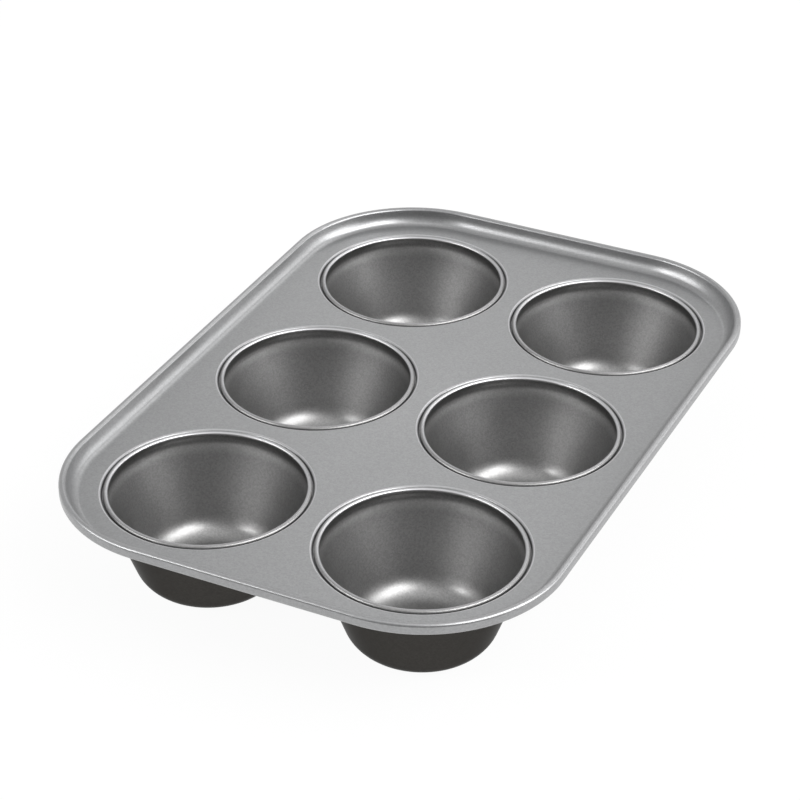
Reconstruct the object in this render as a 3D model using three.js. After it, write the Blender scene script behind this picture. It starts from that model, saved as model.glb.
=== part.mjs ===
// Muffin pan: a pressed steel sheet with a raised, wired rim, and drawn cups locked into its holes.
// Millimetres, +Z up. The cups stand on z = 0, and the Z axis runs through the middle of the pan.

import * as THREE from 'three';
import { mergeGeometries, mergeVertices } from 'three/addons/utils/BufferGeometryUtils.js';

const degree = Math.PI / 180;

// Layout of the cups
const columnNames = ['left', 'right'];
const rowNames = ['front', 'middle', 'back'];
const cupLand = 8.3;                  // flat sheet between the seats of neighbouring cups
const rimLand = 8.14;                 // flat sheet between a seat and the hollow of the rim

// Sheet and rim
const sheetThickness = 0.7;
const hollowRadius = 3.6;             // fillet where the flat turns up into the rim, on the upper face
const hollowAngle = 52 * degree;      // slope where the fillet passes into the flare above it
const flareRadius = 11.5;             // slow bend of the rim's inner wall
const rimWallAngle = 78 * degree;     // slope of that wall where the roll begins
const rollSkirt = 2.05;               // straight outer face of the roll
const curlAngle = 150 * degree;       // how far the edge turns in below that face, short of the wall

// Wire inside the rolled edge
const wireDiameter = 1.6;
const wireClearance = 0.2;

// Seat that is pressed down round each hole
const seatDepth = 1.6;                // flat of the sheet down to the ledge
const seatEdgeRadius = 1.3;           // rounding from the flat into the seat
const grooveGap = 0.45;               // open seam between the cup's bead and the seat's wall
const neckClearance = 0.15;           // hole in the ledge to the neck of the cup

// Cup
const cupDepth = 45.9;                // flat of the sheet down to the underside of the cup
const cupWall = 0.7;
const mouthRadius = 42.5;             // inside of the neck where it meets the bead
const beadHollow = 1;                 // inner width of the curled bead
const beadProud = 0.4;                // crest of the bead above the flat of the sheet
const beadClearance = 0.3;            // foot of the bead above the ledge
const neckSlope = 18 * degree;        // how far the neck leans out on its way down to the shoulder
const shoulderDepth = 4.5;            // flat of the sheet down to the shoulder, which is wider than the hole
const shoulderRounding = 5;
const baseRadius = 29.75;             // where the slanting wall would meet the underside
const baseCornerRadius = 14;

// Number of flats on the round forms
const cupSides = 24;
const cornerSteps = 7;
const filletSteps = 3;
const flareSteps = 2;
const rollSteps = 6;
const curlSteps = 4;
const wireSides = 8;

// Heights
const flatTop = cupDepth;
const flatUnder = flatTop - sheetThickness;
const ledgeTop = flatTop - seatDepth;
const ledgeUnder = ledgeTop - sheetThickness;
const shoulderHeight = flatTop - shoulderDepth;
const beadInnerTop = flatTop + beadProud - cupWall;
const beadFoot = ledgeTop + beadClearance;

// Radii from the axis of a cup
const neckRadius = mouthRadius + cupWall;
const neckAt = (height) => neckRadius + Math.tan(neckSlope) * (beadInnerTop - height);
const holeRadius = neckAt(ledgeUnder) + neckClearance;
const shoulderRadius = neckAt(shoulderHeight);
const beadLeg = neckRadius + beadHollow;
const seatRadius = beadLeg + cupWall + grooveGap;
const seatEdge = seatRadius + seatEdgeRadius;
const cupPitch = 2 * seatEdge + cupLand;

// Fillets that turn the neck over into the bead's outer leg and use up its width
const beadRounding = beadHollow / 2;
const neckRounding = beadRounding / Math.tan((Math.PI / 2 + neckSlope) / 2);

// Rim section, as distances outwards from the rectangle that joins the axes of the corner cups
const rimStart = seatEdge + rimLand;
const rollInnerRadius = wireDiameter / 2 + wireClearance;
const rollRadius = rollInnerRadius + sheetThickness;
const slopeNormal = (slope) => new THREE.Vector2(Math.sin(slope), -Math.cos(slope));
const hollowCentre = new THREE.Vector2(rimStart, flatTop + hollowRadius);
const flareCentre = hollowCentre.clone().addScaledVector(slopeNormal(hollowAngle), hollowRadius - flareRadius);
const rollCentre = flareCentre.clone().addScaledVector(slopeNormal(rimWallAngle), flareRadius + rollRadius);
const curlCentre = new THREE.Vector2(rollCentre.x, rollCentre.y - rollSkirt);

// Half sizes of that rectangle
const halfAcross = cupPitch * (columnNames.length - 1) / 2;
const halfAlong = cupPitch * (rowNames.length - 1) / 2;

// Points of an arc, both ends included
function arc(centre, radius, from, to, steps) {
  return Array.from({ length: steps + 1 }, (_, i) => {
    const angle = from + (to - from) * i / steps;
    return new THREE.Vector2(centre.x + radius * Math.cos(angle), centre.y + radius * Math.sin(angle));
  });
}

// Corner of a section: its place, its fillet radius and the fillet's number of flats
function corner(x, y, radius = 0, steps = 1) {
  return { point: new THREE.Vector2(x, y), radius, steps };
}

// Direction of a path on the way into each corner, and its turn there
function headings(corners) {
  const steps = corners.slice(1).map((next, i) => next.point.clone().sub(corners[i].point).normalize());
  return corners.map((_, i) => {
    const inward = steps[Math.max(i - 1, 0)];
    const outward = steps[Math.min(i, steps.length - 1)];
    return { inward, turn: Math.atan2(inward.cross(outward), inward.dot(outward)) };
  });
}

// Replaces each corner that has a radius by an arc; neighbours share the length between them
function roundCorners(corners) {
  const paths = headings(corners);
  const wanted = corners.map((here, i) => here.radius * Math.tan(Math.abs(paths[i].turn) / 2));
  const points = [];
  corners.forEach((here, i) => {
    if (wanted[i] <= 0) {
      points.push(here.point.clone());
      return;
    }
    const before = here.point.distanceTo(corners[i - 1].point) / (wanted[i] + wanted[i - 1]);
    const after = here.point.distanceTo(corners[i + 1].point) / (wanted[i] + wanted[i + 1]);
    const share = Math.min(1, before, after);
    const radius = here.radius * share;
    const { inward, turn } = paths[i];
    const side = Math.sign(turn);
    const centre = here.point.clone().addScaledVector(inward, -wanted[i] * share);
    centre.x -= side * inward.y * radius;
    centre.y += side * inward.x * radius;
    const from = Math.atan2(-side * inward.x, side * inward.y);
    points.push(...arc(centre, radius, from, from + turn, here.steps));
  });
  return points.filter((point, i) => i === 0 || point.distanceTo(points[i - 1]) > 1e-4);
}

// The same corners moved to the left of the path, with fillets that share the first ones' centres
function offsetLeft(corners, distance) {
  const paths = headings(corners);
  return corners.map((here, i) => {
    const { inward, turn } = paths[i];
    const point = here.point.clone().addScaledVector(inward, -Math.tan(turn / 2) * distance);
    point.x -= inward.y * distance;
    point.y += inward.x * distance;
    const radius = Math.max(0, here.radius - Math.sign(turn) * distance);
    return { point, radius: here.radius > 0 ? radius : 0, steps: here.steps };
  });
}

// Closed section of a bent sheet: along one face of it and back along the other
function sheetSection(corners, thickness) {
  return [...roundCorners(corners), ...roundCorners(offsetLeft(corners, thickness)).reverse()];
}

// Closed ring at a given distance outside the rectangle that joins the corner cups
function panRing(distance, height) {
  const ring = [];
  const quadrants = [[1, 1], [-1, 1], [-1, -1], [1, -1]];
  quadrants.forEach(([across, along], quadrant) => {
    const centre = new THREE.Vector2(across * halfAcross, along * halfAlong);
    const from = quadrant * Math.PI / 2;
    arc(centre, distance, from, from + Math.PI / 2, cornerSteps).forEach((point) => {
      ring.push(new THREE.Vector3(point.x, point.y, height));
    });
  });
  return ring;
}

// Closed ring about the axis of a cup
function cupRing(centre, radius, height) {
  const points = arc(centre, radius, 0, 2 * Math.PI, cupSides).slice(0, cupSides);
  return points.map((point) => new THREE.Vector3(point.x, point.y, height));
}

// Surface through a row of closed rings of equal count, joined end to start if it is a loop
function skin(rings, loop = false) {
  const count = rings[0].length;
  const triangles = [];
  const last = loop ? rings.length : rings.length - 1;
  for (let i = 0; i < last; i += 1) {
    const here = i * count;
    const next = ((i + 1) % rings.length) * count;
    for (let j = 0; j < count; j += 1) {
      const k = (j + 1) % count;
      triangles.push(here + j, here + k, next + j, here + k, next + k, next + j);
    }
  }
  const geometry = new THREE.BufferGeometry().setFromPoints(rings.flat());
  geometry.setIndex(triangles);
  return geometry;
}

// Joins surfaces that share their edges into one closed body
function closedBody(surfaces) {
  const bare = surfaces.map((surface) => {
    const geometry = surface.clone();
    geometry.deleteAttribute('normal');
    geometry.deleteAttribute('uv');
    return geometry;
  });
  const merged = mergeVertices(mergeGeometries(bare), 1e-4);
  const index = Array.from(merged.index.array);
  const kept = [];
  for (let i = 0; i < index.length; i += 3) {
    const [a, b, c] = index.slice(i, i + 3);
    if (a !== b && b !== c && c !== a) kept.push(a, b, c);
  }
  merged.setIndex(kept);
  merged.computeVertexNormals();
  return merged;
}

// Axes of the cups, row by row from the front
const cupPlaces = rowNames.flatMap((row, j) => columnNames.map((column, i) => ({
  name: `cup_${row}_${column}`,
  centre: new THREE.Vector2(i * cupPitch - halfAcross, j * cupPitch - halfAlong),
})));

// Sheet: two flat faces with holes, a skin round each seat and one round the rim
function panSheet() {
  const flat = new THREE.Shape(panRing(rimStart, 0));
  flat.holes = cupPlaces.map(({ centre }) => new THREE.Path(cupRing(centre, seatEdge, 0)));
  const upperFlat = new THREE.ShapeGeometry(flat).translate(0, 0, flatTop);
  const underFlat = new THREE.ShapeGeometry(flat).translate(0, 0, flatUnder);
  underFlat.setIndex(Array.from(underFlat.index.array).reverse());

  // The section starts on the flat; its two ends there are dropped, so the skin begins at the flat's edge
  const seat = sheetSection([
    corner(seatEdge + seatEdgeRadius, flatTop),
    corner(seatRadius, flatTop, seatEdgeRadius, 2),
    corner(seatRadius, ledgeTop),
    corner(holeRadius, ledgeTop),
  ], sheetThickness).slice(1, -1);
  const seats = cupPlaces.map(({ centre }) => skin(seat.map((point) => cupRing(centre, point.x, point.y))));

  // Both faces of the rim: fillet, flare, then over the crest, down the skirt and in
  const quarter = Math.PI / 2;
  const rimFace = (hollow, flare, roll) => [
    ...arc(hollowCentre, hollow, -quarter, hollowAngle - quarter, filletSteps),
    ...arc(flareCentre, flare, hollowAngle - quarter, rimWallAngle - quarter, flareSteps).slice(1),
    ...arc(rollCentre, roll, rimWallAngle + quarter, 0, rollSteps).slice(1),
    ...arc(curlCentre, roll, 0, -curlAngle, curlSteps),
  ];
  const under = rimFace(hollowRadius + sheetThickness, flareRadius + sheetThickness, rollInnerRadius);
  const over = rimFace(hollowRadius, flareRadius, rollRadius);
  const edge = skin([...under, ...over.reverse()].map((point) => panRing(point.x, point.y)));
  return closedBody([upperFlat, underFlat, edge, ...seats]);
}

// Wire: a round bar inside the crest of the roll
function rimWire() {
  const section = arc(rollCentre, wireDiameter / 2, 0, 2 * Math.PI, wireSides).slice(0, wireSides);
  return closedBody([skin(section.map((point) => panRing(point.x, point.y)), true)]);
}

// Cup: floor, round corner, slanting wall, round shoulder, neck through the hole and curled bead
function cup() {
  const section = sheetSection([
    corner(0, 0),
    corner(baseRadius, 0, baseCornerRadius, 4),
    corner(shoulderRadius, shoulderHeight, shoulderRounding, 3),
    corner(neckRadius, beadInnerTop, neckRounding, 3),
    corner(beadLeg, beadInnerTop, beadRounding, 2),
    corner(beadLeg, beadFoot),
  ], cupWall);
  return closedBody([new THREE.LatheGeometry(section, cupSides).rotateX(Math.PI / 2)]);
}

function finish(color, roughness, metalness) {
  return new THREE.MeshStandardMaterial({ color, roughness, metalness });
}

const pan = new THREE.Group();

const sheetMesh = new THREE.Mesh(panSheet(), finish(0x9a9c9d, 0.42, 0.7));
sheetMesh.name = 'pan_sheet';
pan.add(sheetMesh);

const wireMesh = new THREE.Mesh(rimWire(), finish(0xb4b4b0, 0.35, 1));
wireMesh.name = 'rim_wire';
pan.add(wireMesh);

cupPlaces.forEach(({ name, centre }) => {
  const mesh = new THREE.Mesh(cup(), finish(0x77787a, 0.4, 0.7));
  mesh.name = name;
  mesh.position.set(centre.x, centre.y, 0);
  pan.add(mesh);
});

export default pan;
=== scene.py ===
import math

import bpy
import numpy as np
from mathutils import Matrix


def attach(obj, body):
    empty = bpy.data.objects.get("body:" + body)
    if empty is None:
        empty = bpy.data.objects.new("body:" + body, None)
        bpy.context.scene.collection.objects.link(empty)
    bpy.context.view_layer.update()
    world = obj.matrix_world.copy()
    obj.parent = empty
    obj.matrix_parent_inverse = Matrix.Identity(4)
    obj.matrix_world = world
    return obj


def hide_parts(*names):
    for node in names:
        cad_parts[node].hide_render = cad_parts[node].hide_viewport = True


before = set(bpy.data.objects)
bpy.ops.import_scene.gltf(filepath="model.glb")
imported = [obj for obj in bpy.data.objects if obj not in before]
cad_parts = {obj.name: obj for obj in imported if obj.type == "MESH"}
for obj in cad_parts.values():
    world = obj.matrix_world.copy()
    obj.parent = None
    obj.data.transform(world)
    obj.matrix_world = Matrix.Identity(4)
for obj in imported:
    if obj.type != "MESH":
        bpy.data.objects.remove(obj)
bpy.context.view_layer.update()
scene = bpy.context.scene
mm = 0.001  # sizes in the dictionaries are millimetres
print("muffin pan: solids loaded")

sheetLine = {
    "runShares": (0.03, 0.25, 0.5, 0.75, 0.97, 1.0),  # rows on a straight run: those near its ends keep it flat
    "shortestRun": 1e-6,
    "fewestFaces": 3,  # on an arc
    "edgeFaces": 6,    # round a cut edge
    "weldDigits": 4,   # points that agree to this many decimals of a millimetre become one
}
markNames = ("outside", "crestHighlight")


# Line of bent sheet, in radius and height. Each bend is a straight run, then an arc that turns the heading
# (degrees). Gives the points and, at each, the unit direction to the left of travel
def bentLine(start, heading, bends, arcStep):
    place = np.array(start, float)
    angle = math.radians(heading)
    share = np.array(sheetLine["runShares"])[:, None]
    points = [place[None]]
    lefts = [np.array(((-math.sin(angle), math.cos(angle)),))]
    for run, turn, radius in bends:
        left = lefts[-1][-1]
        if run > sheetLine["shortestRun"]:
            points.append(place + run * share * (left[1], -left[0]))
            lefts.append(np.repeat(left[None], len(share), axis=0))
            place = points[-1][-1]
        if turn:
            side = math.copysign(radius, turn)
            steps = max(sheetLine["fewestFaces"], math.ceil(abs(turn) / arcStep))
            turned = angle + math.radians(turn) * np.arange(1, steps + 1) / steps
            centre = place + side * left
            lefts.append(np.stack((-np.sin(turned), np.cos(turned)), axis=1))
            points.append(centre - side * lefts[-1])
            angle = turned[-1]
            place = points[-1][-1]
    return np.concatenate(points), np.concatenate(lefts)


# Heading, runs and bends of a line through corners (radius, height, rounding). A rounding touches both sides
# of its corner, so it shortens each by its radius times the tangent of half the turn
def bendsThrough(corners):
    table = np.array(corners, float)
    step = np.diff(table[:, :2], axis=0)
    heading = np.degrees(np.arctan2(step[:, 1], step[:, 0]))
    turn = np.append((np.diff(heading) + 180) % 360 - 180, 0)
    reach = table[1:, 2] * np.tan(np.radians(np.abs(turn)) / 2)
    run = np.hypot(step[:, 0], step[:, 1]) - reach - np.append(0, reach[:-1])
    return heading[0], list(zip(run, turn, table[1:, 2]))


# Both faces of bent sheet as one line: along the given face, round the cut edge in a half circle, and back
# along the other face, a thickness to the left
def sheetSection(line, thickness):
    points, lefts = line
    half = np.radians(np.linspace(0, 180, sheetLine["edgeFaces"] + 1)[1:-1])[:, None]
    left = lefts[-1]
    ahead = np.array((left[1], -left[0]))
    edge = points[-1] + thickness / 2 * (left * (1 - np.cos(half)) + ahead * np.sin(half))
    return np.concatenate((points, edge, (points + thickness * lefts)[::-1]))


# Surface of a section carried round a path: point (i, j) is base[j] + radius[i] * outward[j], at height[i]
def carryRound(section, base, outward):
    across = base[None] + section[:, 0, None, None] * outward[None]
    height = np.broadcast_to(section[:, 1, None, None], across.shape[:2] + (1,))
    return np.concatenate((across, height), axis=2)


# Four corners of every face of a grid whose columns close on themselves
def gridFaces(rows, columns):
    i, j = np.meshgrid(np.arange(rows - 1), np.arange(columns), indexing="ij")
    k = (j + 1) % columns
    corners = (i * columns + j, i * columns + k, (i + 1) * columns + k, (i + 1) * columns + j)
    return np.stack(corners, axis=-1).reshape(-1, 4)


crestHighlightSpread = {
    "bends": (0.56, 0.78),   # outward bend, in radians to the millimetre, at which the painted highlight starts and is full
    "facing": (0.55, 0.95),  # cosine from the surface's direction to the side whose crests are painted lighter, likewise
}


# Two marks for each row of a sheet's section: 1 on its outer or lower face, which gets painted shade, and the
# share of painted highlight, which is how far its bend has gone between the two values above, times how far its
# facing has.
# The side whose crests get the painted highlight leans from upright towards the axis, in degrees
def sheetMarks(section, outsideFirst, lean):
    step = np.diff(section, axis=0)
    angle = np.arctan2(step[:, 1], step[:, 0])
    length = np.hypot(step[:, 0], step[:, 1])
    turn = (np.diff(angle) + np.pi) % (2 * np.pi) - np.pi
    bend = np.concatenate(((0,), turn / np.maximum(length[1:], length[:-1]), (0,)))
    facing = np.concatenate(((0,), -np.cos(angle[:-1] + turn / 2 - math.radians(lean)), (0,)))
    outside = (np.linspace(0, 1, len(section)) < 0.5) == outsideFirst  # each face is half the section
    # Painted highlight: crests of tight bends that face the lit side get a lighter colour
    crestHighlight = np.interp(bend, crestHighlightSpread["bends"], (0, 1)) * np.interp(facing, crestHighlightSpread["facing"], (0, 1))
    return np.stack((outside, crestHighlight), axis=1)


# One closed mesh from grids: points that coincide become one, and a face with two corners in one place
# becomes a triangle. The marks of the rows go along as attributes
def makePiece(name, grids, marks, material):
    starts = np.cumsum([0] + [grid.shape[0] * grid.shape[1] for grid in grids])
    points = np.concatenate([grid.reshape(-1, 3) for grid in grids])
    faces = np.concatenate([gridFaces(*grid.shape[:2]) + start for grid, start in zip(grids, starts)])
    places = np.round(points, sheetLine["weldDigits"])
    _, first, same = np.unique(places, axis=0, return_index=True, return_inverse=True)
    faces = same.reshape(-1)[faces]
    double = faces == np.roll(faces, -1, axis=1)
    doubles = double.sum(axis=1)
    quads = faces[doubles == 0]
    triangles = faces[doubles == 1][~double[doubles == 1]].reshape(-1, 3)
    mesh = bpy.data.meshes.new(name)
    mesh.from_pydata((points[first] * mm).tolist(), [], quads.tolist() + triangles.tolist())
    mesh.polygons.foreach_set("use_smooth", np.ones(len(mesh.polygons), bool))
    marked = [np.repeat(mark, grid.shape[1], axis=0) for grid, mark in zip(grids, marks)]
    marked = np.concatenate(marked)[first].astype(np.float32)
    for column, mark in enumerate(markNames):
        mesh.attributes.new(mark, "FLOAT", "POINT").data.foreach_set("value", marked[:, column].copy())
    mesh.materials.append(material)
    mesh.update()
    piece = bpy.data.objects.new(name, mesh)
    scene.collection.objects.link(piece)
    return piece


# Stands a finished piece in for its solid
def seatPiece(piece, node):
    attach(piece, "root")
    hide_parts(node)


# Node group with named sockets, empty but for its two ends
def newGroup(name, inputs, outputs):
    group = bpy.data.node_groups.new(name, "ShaderNodeTree")
    for socket, kind, value in inputs:
        made = group.interface.new_socket(name=socket, in_out="INPUT", socket_type=kind)
        if value is not None:
            made.default_value = value
    for socket, kind in outputs:
        group.interface.new_socket(name=socket, in_out="OUTPUT", socket_type=kind)
    return group, group.nodes.new("NodeGroupInput"), group.nodes.new("NodeGroupOutput")


# Adds a node, sets its fields and sockets, and links sockets that are given as sockets
def addNode(tree, kind, sockets=None, **fields):
    node = tree.nodes.new(kind)
    for field, value in fields.items():
        setattr(node, field, value)
    for socket, value in (sockets or {}).items():
        if isinstance(value, bpy.types.NodeSocket):
            tree.links.new(value, node.inputs[socket])
        else:
            node.inputs[socket].default_value = value
    return node


# The first value where the mask is 0, the second where it is 1, and shares of both between.
# The Mix node's sockets go by number, because several have the same name
def mixValues(tree, mask, first, second):
    mix = addNode(tree, "ShaderNodeMix", {0: mask, 2: first, 3: second}, data_type="FLOAT")
    return mix.outputs[0]


# The same for colours. Under another blend, such as multiply, the second works on the first
def mixColours(tree, mask, first, second, blend="MIX"):
    mix = addNode(tree, "ShaderNodeMix", {0: mask, 6: first, 7: second}, data_type="RGBA", blend_type=blend)
    return mix.outputs[2]


# Arithmetic on two values, such as their product or the greater of them
def reckon(tree, operation, first, second):
    return addNode(tree, "ShaderNodeMath", {0: first, 1: second}, operation=operation).outputs["Value"]


# Smooth step of a value between two limits: from 0 up to 1, or from 1 down to 0 where it falls
def smoothStep(tree, value, limits, falling=False):
    step = addNode(tree, "ShaderNodeMapRange", {
        "Value": value, "From Min": limits[0], "From Max": limits[1],
        "To Min": float(falling), "To Max": float(not falling),
    }, interpolation_type="SMOOTHSTEP")
    return step.outputs["Result"]


coatingNoise = {
    "flakeScale": 1500.0,  # scales are to the metre
    "peelScale": 420.0,
    "peelDetail": 2.0,
    "peelShare": 0.5,      # of the bump, which is flakes for the rest
    "cloudScale": 28.0,
    "cloudDetail": 3.0,
    "cloudShare": 0.35,    # of the tone, likewise
    "cloudRange": (0.3, 0.7),
    "polishRange": (0.92, 1.08),
}


# Baked coating: fine flakes, orange peel and slow clouds, all from noise in the object's own space.
# Tone mixes flakes and clouds about 0.5, Polish follows the clouds as a share of roughness about 1,
# and Height mixes flakes and peel for a Bump node
def makeCoatingGrain(noise):
    group, ins, outs = newGroup(
        "coatingGrain",
        (
            ("Vector", "NodeSocketVector", None),
            ("Flake Scale", "NodeSocketFloat", noise["flakeScale"]),
            ("Peel Scale", "NodeSocketFloat", noise["peelScale"]),
            ("Cloud Scale", "NodeSocketFloat", noise["cloudScale"]),
            ("Peel Share", "NodeSocketFloat", noise["peelShare"]),
        ),
        (("Tone", "NodeSocketFloat"), ("Polish", "NodeSocketFloat"), ("Height", "NodeSocketFloat")),
    )
    vector = ins.outputs["Vector"]
    flakes = addNode(group, "ShaderNodeTexVoronoi", {"Vector": vector, "Scale": ins.outputs["Flake Scale"]})
    flakeTone = addNode(group, "ShaderNodeSeparateColor", {"Color": flakes.outputs["Color"]})
    peel = addNode(group, "ShaderNodeTexNoise", {
        "Vector": vector, "Scale": ins.outputs["Peel Scale"], "Detail": noise["peelDetail"]})
    cloud = addNode(group, "ShaderNodeTexNoise", {
        "Vector": vector, "Scale": ins.outputs["Cloud Scale"], "Detail": noise["cloudDetail"]})
    tone = mixValues(group, noise["cloudShare"], flakeTone.outputs["Red"], cloud.outputs["Fac"])
    polish = addNode(group, "ShaderNodeMapRange", {
        "Value": cloud.outputs["Fac"],
        "From Min": noise["cloudRange"][0], "From Max": noise["cloudRange"][1],
        "To Min": noise["polishRange"][0], "To Max": noise["polishRange"][1],
    })
    height = mixValues(group, ins.outputs["Peel Share"], flakes.outputs["Distance"], peel.outputs["Fac"])
    group.links.new(tone, outs.inputs["Tone"])
    group.links.new(polish.outputs["Result"], outs.inputs["Polish"])
    group.links.new(height, outs.inputs["Height"])
    return group


coatingGrain = makeCoatingGrain(coatingNoise)


# Faces of a coated sheet: the coat's colour times a tint on the outside, which is painted shade for the shadow
# under the pan, and a lighter colour, a painted highlight on the crests, where the second mask says so
def makeCoatingFaces():
    group, ins, outs = newGroup(
        "coatingFaces",
        (
            ("Coat", "NodeSocketColor", None),
            ("Outside", "NodeSocketFloat", 0.0),
            ("Outside Shade Tint", "NodeSocketColor", (1, 1, 1, 1)),
            ("Crest Highlight", "NodeSocketFloat", 0.0),
            ("Crest Highlight Colour", "NodeSocketColor", (1, 1, 1, 1)),
        ),
        (("Colour", "NodeSocketColor"),),
    )
    coat, tint = ins.outputs["Coat"], ins.outputs["Outside Shade Tint"]
    # Painted shade: the outside is multiplied darker for the shadow under the pan
    tinted = mixColours(group, ins.outputs["Outside"], coat, tint, "MULTIPLY")
    # Painted highlight: a lighter colour on the crests
    highlighted = mixColours(group, ins.outputs["Crest Highlight"], tinted, ins.outputs["Crest Highlight Colour"])
    group.links.new(highlighted, outs.inputs["Colour"])
    return group


coatingFaces = makeCoatingFaces()


# Band of painted light round a piece, shade where the tint is below 1 and highlight where it is above: the
# colour times a tint, which fades in between two heights and out between two more
def addPaintedLightBand(tree, vector, colour, fadeIn, fadeOut, tint):
    height = addNode(tree, "ShaderNodeSeparateXYZ", {0: vector}).outputs["Z"]
    above = smoothStep(tree, height, [limit * mm for limit in fadeIn])
    below = smoothStep(tree, height, [limit * mm for limit in fadeOut], falling=True)
    within = reckon(tree, "MULTIPLY", above, below)
    return mixColours(tree, within, colour, (tint, tint, tint, 1), "MULTIPLY")


# Metal finish: two close colours mixed by the grain's tone, roughness by its polish, bump by its height.
# The piece's own attributes say where its outside is, which gets painted shade, and where its crests get a
# painted highlight
def makeFinish(name, look):
    material = bpy.data.materials.new(name)
    material.use_nodes = True
    tree = material.node_tree
    shader = tree.nodes["Principled BSDF"]
    where = addNode(tree, "ShaderNodeTexCoord").outputs["Object"]
    grain = addNode(tree, "ShaderNodeGroup", {"Vector": where, **look["grain"]}, node_tree=coatingGrain)
    coat = mixColours(tree, grain.outputs["Tone"], (*look["dark"], 1), (*look["light"], 1))
    # Painted shade in the cup's neck and a painted highlight ring below it
    for fadeIn, fadeOut, tint in look["shadeAndHighlightBands"]:
        coat = addPaintedLightBand(tree, where, coat, fadeIn, fadeOut, tint)
    outside, crestHighlight = (addNode(tree, "ShaderNodeAttribute", attribute_name=mark) for mark in markNames)
    faces = addNode(tree, "ShaderNodeGroup", {
        "Coat": coat,
        "Outside": outside.outputs["Fac"],
        "Outside Shade Tint": (*look["outside"], 1),
        "Crest Highlight": crestHighlight.outputs["Fac"],
        "Crest Highlight Colour": (*look["crestHighlight"], 1),
    }, node_tree=coatingFaces)
    rough = reckon(tree, "MULTIPLY", grain.outputs["Polish"], look["roughness"])
    bump = addNode(tree, "ShaderNodeBump", {
        "Height": grain.outputs["Height"], "Strength": look["bump"], "Distance": look["depth"] * mm})
    tree.links.new(faces.outputs["Colour"], shader.inputs["Base Color"])
    tree.links.new(rough, shader.inputs["Roughness"])
    tree.links.new(bump.outputs["Normal"], shader.inputs["Normal"])
    shader.inputs["Metallic"].default_value = look["metallic"]
    shader.inputs["Specular Tint"].default_value = (*look["edge"], 1)
    return material


sheetCoating = {
    "dark": (0.300, 0.302, 0.305),
    "light": (0.380, 0.382, 0.387),
    # painted shade: the outer and lower faces are darkened for the shadow under the pan
    "outside": (0.155, 0.147, 0.137),  # tint
    "shadeAndHighlightBands": (),
    "metallic": 0.82,
    "edge": (1, 1, 1),                 # tint of the sheen at a glancing angle
    # painted highlight colour for the crests
    "crestHighlight": (0.62, 0.62, 0.63),
    "roughness": 0.33,
    "bump": 0.35,
    "depth": 0.004,
    "grain": {"Peel Share": 0.6},
}
cupCoating = {
    "dark": (0.265, 0.263, 0.262),
    "light": (0.365, 0.363, 0.362),
    # painted shade: the cup's outside is darkened for the shadow under the pan
    "outside": (0.16, 0.152, 0.141),
    "shadeAndHighlightBands": (                         # heights of fading in and out, and tint
        ((40.9, 41.9), (45.3, 45.6), 0.8),   # the neck under the bead, painted shade in its recess
        ((35.2, 39.4), (40.2, 41.2), 1.36),  # a lighter ring below it, painted highlight where the shoulder reflects light
    ),
    "metallic": 0.92,
    "edge": (0.45, 0.45, 0.45),
    # painted highlight colour for the crests
    "crestHighlight": (0.62, 0.62, 0.63),
    "roughness": 0.36,
    "bump": 0.35,
    "depth": 0.004,
    "grain": {"Peel Share": 0.6},
}
wireSteel = {
    "dark": (0.46, 0.455, 0.44),
    "light": (0.58, 0.575, 0.56),
    "outside": (1, 1, 1),
    "shadeAndHighlightBands": (),
    "metallic": 1.0,
    "edge": (1, 1, 1),
    "crestHighlight": (0.5, 0.5, 0.5),
    "roughness": 0.3,
    "bump": 0.3,
    "depth": 0.003,
    "grain": {"Flake Scale": 1800.0, "Peel Scale": 900.0, "Cloud Scale": 60.0},
}
sheetFinish = makeFinish("sheetCoating", sheetCoating)
cupFinish = makeFinish("cupCoating", cupCoating)
wireFinish = makeFinish("wireSteel", wireSteel)
print("muffin pan: finishes mixed")

panSheet = {
    "columns": 2,
    "rows": 3,
    "pitch": 101.6,         # between the axes of neighbouring cups
    "thickness": 0.7,
    "flatTop": 45.9,
    "seatRadius": 45.35,    # wall of the seat round a cup
    "seatRounding": 1.3,    # from the flat into the seat
    "seatDepth": 1.6,
    "seatHighlightLean": -12.0,      # degrees: the side of the seat's edge that gets the painted highlight
    "ledgeRounding": 0.25,
    "holeRadius": 44.0,
    "rimStart": 54.79,      # cup axis to the hollow of the rim
    "rimHighlightLean": 0.0,
    "hollowRadius": 3.6,
    "hollowSlope": 52.0,    # degrees, where the hollow passes into the flare
    "flareRadius": 11.5,
    "wallSlope": 78.0,      # degrees, where the flare passes into the roll
    "rollInner": 1.0,
    "rollSkirt": 2.05,      # straight outer face of the roll
    "curlTurn": 136.0,      # degrees from the skirt to the cut edge
    "sideSteps": 16,        # faces on half a pitch
    "arcStep": 9.0,         # degrees of an arc on one face
    "cellShares": (0, 0.03, 0.3, 0.65, 0.97, 1),  # rows of a flat cell, from the seat to the cell's edge
}


# Axis of a cup: its column and row from the front left, less those of the middle, times the pitch
def cupAxis(sizes, column, row):
    return sizes["pitch"] * np.array((column - (sizes["columns"] - 1) / 2, row - (sizes["rows"] - 1) / 2))


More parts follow.
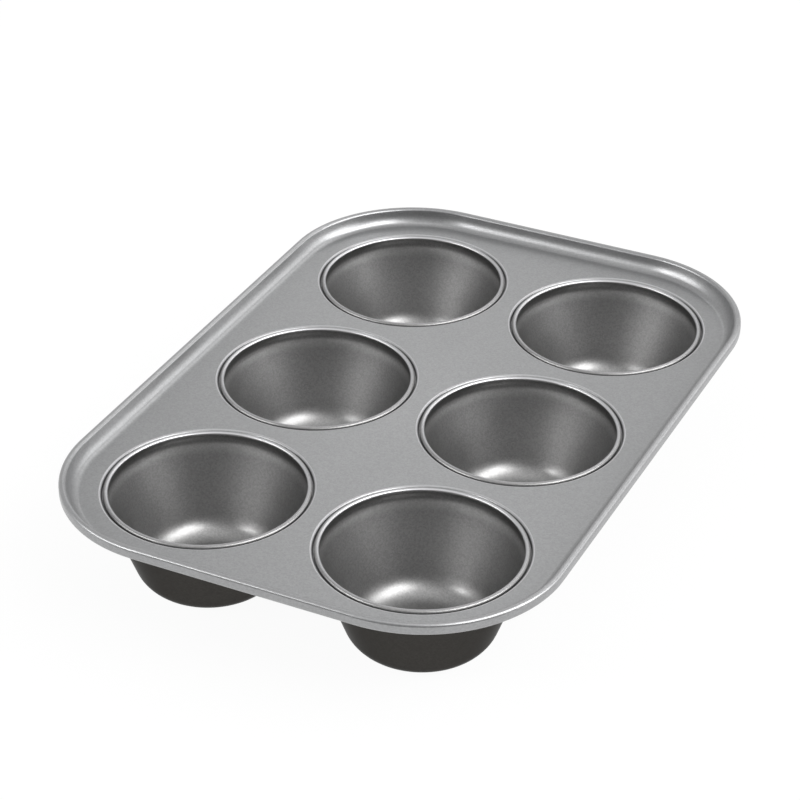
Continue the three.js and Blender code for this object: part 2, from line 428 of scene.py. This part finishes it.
# Path round the pan: the rectangle through the corner cups' axes, with the outward direction,
# which fans out at each corner
def panPath(sizes):
    fan = 2 * sizes["sideSteps"]
    ends = (sizes["columns"] - 1, sizes["rows"] - 1)
    turns = ((1, 1), (0, 1), (0, 0), (1, 0))  # right or left, back or front
    corners = [cupAxis(sizes, ends[0] * right, ends[1] * back) for right, back in turns]
    base, outward = [], []
    for quarter, corner in enumerate(corners):
        angle = np.radians(90 * (quarter + np.arange(fan + 1) / fan))
        base.append(np.repeat(corner[None], fan + 1, axis=0))
        outward.append(np.stack((np.cos(angle), np.sin(angle)), axis=1))
        steps = fan * ends[quarter % 2]
        share = (np.arange(1, steps) / steps)[:, None]
        base.append(corner + share * (corners[(quarter + 1) % 4] - corner))
        outward.append(np.repeat(outward[-1][-1:], steps - 1, axis=0))
    return np.concatenate(base), np.concatenate(outward)


# Circle about a cup's axis, with as many points as the edge of its cell
def cupPath(sizes, column, row):
    count = 8 * sizes["sideSteps"]
    angle = 2 * np.pi * np.arange(count) / count
    base = np.repeat(cupAxis(sizes, column, row)[None], count, axis=0)
    return base, np.stack((np.cos(angle), np.sin(angle)), axis=1)


# Flat sheet of one cup's cell: point (s, j) lies the share s of the way from the seat's edge to the edge of
# the cell, which is half a pitch away towards a neighbour and at the rim's hollow elsewhere, round at the
# pan's corners
def flatCell(sizes, column, row, height, shares):
    fan = 2 * sizes["sideSteps"]
    axis, circle = cupPath(sizes, column, row)
    t = (np.arange(fan) / sizes["sideSteps"])[:, None]
    atRim = (column == sizes["columns"] - 1, row == sizes["rows"] - 1, column == 0, row == 0)
    reach = [sizes["rimStart"] if rim else sizes["pitch"] / 2 for rim in atRim]
    edge = []
    for quarter in range(4):
        u, v = circle[quarter * fan], circle[(quarter + 1) * fan % (4 * fan)]
        ru, rv = reach[quarter], reach[(quarter + 1) % 4]
        straight = np.where(t <= 1, ru * u + t * rv * v, (2 - t) * ru * u + rv * v)
        rounded = sizes["rimStart"] * circle[quarter * fan:(quarter + 1) * fan]
        edge.append(rounded if ru == rv == sizes["rimStart"] else straight)
    edge = np.concatenate(edge)[None]
    seat = ((sizes["seatRadius"] + sizes["seatRounding"]) * circle)[None]
    across = axis[None] + seat + shares[:, None, None] * (edge - seat)
    return np.concatenate((across, np.full(across.shape[:2] + (1,), height)), axis=2)


# Sheet: flat cells above and below, a turned-down seat round each hole, and all round the rim's hollow,
# flare and roll
def makeSheet(sizes, material):
    thickness, flatTop = sizes["thickness"], sizes["flatTop"]
    flatUnder = flatTop - thickness
    ledge = flatTop - sizes["seatDepth"]
    seatEdge = sizes["seatRadius"] + sizes["seatRounding"]
    heading, bends = bendsThrough((
        (seatEdge, flatTop, 0),
        (sizes["seatRadius"], flatTop, sizes["seatRounding"]),
        (sizes["seatRadius"], ledge, sizes["ledgeRounding"]),
        (sizes["holeRadius"] + thickness / 2, ledge, 0),
    ))
    seat = sheetSection(bentLine((seatEdge, flatTop), heading, bends, sizes["arcStep"]), thickness)
    rim = sheetSection(bentLine((sizes["rimStart"], flatUnder), 0, (
        (0, sizes["hollowSlope"], sizes["hollowRadius"] + thickness),
        (0, sizes["wallSlope"] - sizes["hollowSlope"], sizes["flareRadius"] + thickness),
        (0, -90 - sizes["wallSlope"], sizes["rollInner"]),  # over the top, to straight down
        (sizes["rollSkirt"], -sizes["curlTurn"], sizes["rollInner"]),
    ), sizes["arcStep"]), thickness)
    shares = np.array(sizes["cellShares"])
    upper = np.zeros((len(shares), len(markNames)))
    lower = np.repeat(((1, 0),), len(shares), axis=0)  # outside with painted shade, no painted highlight
    grids = [carryRound(rim, *panPath(sizes))]
    marks = [sheetMarks(rim, True, sizes["rimHighlightLean"])]
    for row in range(sizes["rows"]):
        for column in range(sizes["columns"]):
            grids.append(carryRound(seat, *cupPath(sizes, column, row)))
            grids.append(flatCell(sizes, column, row, flatTop, shares[::-1]))
            grids.append(flatCell(sizes, column, row, flatUnder, shares))
            marks += (sheetMarks(seat, False, sizes["seatHighlightLean"]), upper, lower)
    return makePiece("panSheet", grids, marks, material)


seatPiece(makeSheet(panSheet, sheetFinish), "pan_sheet")
print("muffin pan: sheet pressed")

rimWire = {
    "diameter": 1.6,
    "place": (61.476, 51.619),  # middle of the roll's crest: distance from the corner cup's axis, and height
    "sides": 20,
}


# Wire: a circle carried round the pan inside the roll
def makeWire(sizes, material):
    angle = 2 * np.pi * np.arange(sizes["sides"] + 1) / sizes["sides"]
    circle = np.stack((np.cos(angle), np.sin(angle)), axis=1)
    section = np.array(sizes["place"]) + sizes["diameter"] / 2 * circle
    marks = np.zeros((len(section), len(markNames)))
    return makePiece("rimWire", [carryRound(section, *panPath(panSheet))], [marks], material)


seatPiece(makeWire(rimWire, wireFinish), "rim_wire")
print("muffin pan: wire laid")

cup = {
    "wall": 0.7,
    "baseRadius": 29.75,       # where the slanting wall would meet the underside
    "baseRounding": 14.0,
    "shoulderRadius": 44.565,  # outside, where the wall would meet the neck
    "shoulderHeight": 41.4,
    "shoulderRounding": 9.0,
    "neckRadius": 43.2,        # outside, where the neck would meet the top of the bead
    "neckRounding": 0.363,
    "beadHollow": 1.0,
    "beadTop": 45.6,           # inside of the curled bead
    "beadFoot": 44.6,
    "beadHighlightLean": 28.0,          # degrees: the side of the bead that gets the painted highlight
    "arcStep": 6.0,
}
cupRows = ("front", "middle", "back")
cupColumns = ("left", "right")


# Cup: floor, round corner, slanting wall, shoulder, neck and curled bead, as one section turned about
# the cup's axis
def makeCup(sizes, name, column, row, material):
    leg = sizes["neckRadius"] + sizes["beadHollow"]
    heading, bends = bendsThrough((
        (0, 0, 0),
        (sizes["baseRadius"], 0, sizes["baseRounding"]),
        (sizes["shoulderRadius"], sizes["shoulderHeight"], sizes["shoulderRounding"]),
        (sizes["neckRadius"], sizes["beadTop"], sizes["neckRounding"]),
        (leg, sizes["beadTop"], sizes["beadHollow"] / 2),
        (leg, sizes["beadFoot"] + sizes["wall"] / 2, 0),
    ))
    section = sheetSection(bentLine((0, 0), heading, bends, sizes["arcStep"]), sizes["wall"])
    grid = carryRound(section, *cupPath(panSheet, column, row))
    return makePiece(name, [grid], [sheetMarks(section, True, sizes["beadHighlightLean"])], material)


for row, rowName in enumerate(cupRows):
    for column, columnName in enumerate(cupColumns):
        piece = makeCup(cup, "cup" + rowName.title() + columnName.title(), column, row, cupFinish)
        seatPiece(piece, f"cup_{rowName}_{columnName}")
print("muffin pan: cups drawn")

studioFloor = {
    "reach": 8.0,                   # metres each way
    "under": 0.02,                  # below the cups' feet
    "colour": (0.9, 0.9, 0.9),
    "roughness": 0.95,
    "white": 0.95,                  # share that shows plain white; the rest shows the pan's shadow
}


# Floor: one wide pale square at the cups' feet, clear from below so that the undersides can be looked at
def makeFloor(look):
    r = look["reach"]
    z = -look["under"] * mm
    mesh = bpy.data.meshes.new("studioFloor")
    mesh.from_pydata([(-r, -r, z), (r, -r, z), (r, r, z), (-r, r, z)], [], [(0, 1, 2, 3)])
    paint = bpy.data.materials.new("studioFloor")
    paint.use_nodes = True
    tree = paint.node_tree
    shader = tree.nodes["Principled BSDF"]
    shader.inputs["Base Color"].default_value = (*look["colour"], 1)
    shader.inputs["Roughness"].default_value = look["roughness"]
    shader.inputs["Specular IOR Level"].default_value = 0.0
    ray = addNode(tree, "ShaderNodeLightPath").outputs
    mirrored = reckon(tree, "MAXIMUM", ray["Is Glossy Ray"], ray["Is Transmission Ray"])
    seen = reckon(tree, "MAXIMUM", ray["Is Camera Ray"], mirrored)
    share = reckon(tree, "MULTIPLY", seen, look["white"])
    white = addNode(tree, "ShaderNodeEmission", {"Color": (1, 1, 1, 1), "Strength": 1.0})
    both = addNode(tree, "ShaderNodeMixShader", {
        0: share, 1: shader.outputs["BSDF"], 2: white.outputs["Emission"]})
    face = addNode(tree, "ShaderNodeNewGeometry")
    clear = addNode(tree, "ShaderNodeBsdfTransparent")
    sided = addNode(tree, "ShaderNodeMixShader", {
        0: face.outputs["Backfacing"], 1: both.outputs["Shader"], 2: clear.outputs["BSDF"]})
    tree.links.new(sided.outputs["Shader"], tree.nodes["Material Output"].inputs["Surface"])
    paint.cycles.emission_sampling = "NONE"
    mesh.materials.append(paint)
    floor = bpy.data.objects.new("studioFloor", mesh)
    scene.collection.objects.link(floor)


makeFloor(studioFloor)
print("muffin pan: floor laid")

studioLight = {
    "front": -64.2,               # degrees: bearing of the camera's side of the pan
    "room": 0.66,                 # brightness of the room, where 1 is white
    "roomDark": 0.06,             # brightness of its unlit part, behind the camera
    "darkHeights": (16.0, 56.0),  # degrees over which the dark ends upwards
    "darkSpread": (0.0, 0.7),     # cosines over which it ends sideways
    "distance": 2.6,              # metres from the lamps to the point that they face
    "facing": (0, 0, 0.04),
    "whiteWatts": 4.0,            # watts on a square metre of lamp that show as white
    "boxes": (                    # bearing from the far side (right is plus), height, width, depth, level
        ("keyBox", 124, 50, 2.5, 1.1, 3.4),
        ("coreBox", 135, 42, 1.0, 0.7, 2.2),
        ("sideBox", 68, 17, 2.0, 0.8, 1.2),
        ("archBox", 39, 42, 1.5, 0.7, 1.1),
        ("fillBox", -118, 32, 0.4, 0.4, 16.0),
        ("edgeBox", -96, 25, 1.2, 0.8, 3.0),
        ("wallBox", 100, 26, 1.4, 0.9, 3.5),
        ("topBox", 180, 72, 2.4, 1.6, 0.3),
        ("glowBox", 0, 34, 0.5, 0.5, 0.75),
    ),
}


# Unit vector at a bearing from the side away from the camera, and a height, in degrees
def studioDirection(bearing, height):
    turn = math.radians(studioLight["front"] + 180 - bearing)
    rise = math.radians(height)
    return np.array((math.cos(rise) * math.cos(turn), math.cos(rise) * math.sin(turn), math.sin(rise)))


# Unit vectors to the side of a line of sight and upwards, for something that looks against back
def levelAxes(back):
    side = np.cross((0, 0, 1), back)
    side /= np.linalg.norm(side)
    return side, np.cross(back, side)


# Softbox: an oblong lamp that faces the pan. Its level is how bright it shows, where 1 is white
def makeBox(name, bearing, height, width, depth, level):
    lamp = bpy.data.lights.new(name, "AREA")
    lamp.shape = "RECTANGLE"
    lamp.size = width
    lamp.size_y = depth
    lamp.energy = studioLight["whiteWatts"] * width * depth * level
    back = studioDirection(bearing, height)
    axes = np.eye(4)
    axes[:3, :3] = np.stack((*levelAxes(back), back), axis=1)
    axes[:3, 3] = back * studioLight["distance"] + studioLight["facing"]
    box = bpy.data.objects.new(name, lamp)
    box.matrix_world = Matrix(axes.tolist())
    box.visible_camera = False
    scene.collection.objects.link(box)


for box in studioLight["boxes"]:
    makeBox(*box)


# Room: pale all round, but dark low on the camera's side
def makeRoom(look):
    room = bpy.data.worlds.new("studioRoom")
    room.use_nodes = True
    tree = room.node_tree
    where = addNode(tree, "ShaderNodeTexCoord").outputs["Generated"]
    rise = addNode(tree, "ShaderNodeSeparateXYZ", {0: where}).outputs["Z"]
    towards = addNode(tree, "ShaderNodeVectorMath", {
        0: where, 1: tuple(studioDirection(180, 0))}, operation="DOT_PRODUCT").outputs["Value"]
    heights = [math.sin(math.radians(height)) for height in look["darkHeights"]]
    low = smoothStep(tree, rise, heights, falling=True)
    near = smoothStep(tree, towards, look["darkSpread"])
    bright = mixValues(tree, reckon(tree, "MULTIPLY", low, near), look["room"], look["roomDark"])
    background = tree.nodes["Background"]
    background.inputs["Color"].default_value = (1, 1, 1, 1)
    tree.links.new(bright, background.inputs["Strength"])
    scene.world = room


makeRoom(studioLight)
print("muffin pan: studio lit")

photoCamera = {
    "eye": (413.834, -874.551, 648.561),
    "aim": (-7.926, -1.518, 45.691),
    "roll": 0.169,         # degrees
    "lens": 113.648,
    "sensor": 36,
    "sight": (0.05, 50),   # metres: nearest and farthest that it sees
}


# Camera at eye, looking at aim and then turned by roll about that line
def makeCamera(place):
    eye = np.array(place["eye"])
    back = eye - np.array(place["aim"])
    back /= np.linalg.norm(back)
    level, rise = levelAxes(back)
    c, s = math.cos(math.radians(place["roll"])), math.sin(math.radians(place["roll"]))
    axes = np.eye(4)
    axes[:3, 0] = c * level + s * rise
    axes[:3, 1] = c * rise - s * level
    axes[:3, 2] = back
    axes[:3, 3] = eye * mm
    lens = bpy.data.cameras.new("photoCamera")
    lens.sensor_width = place["sensor"]
    lens.lens = place["lens"]
    lens.clip_start, lens.clip_end = place["sight"]
    camera = bpy.data.objects.new("photoCamera", lens)
    camera.matrix_world = Matrix(axes.tolist())
    scene.collection.objects.link(camera)
    scene.camera = camera


makeCamera(photoCamera)
scene.view_settings.view_transform = "Standard"
print("muffin pan: camera set")
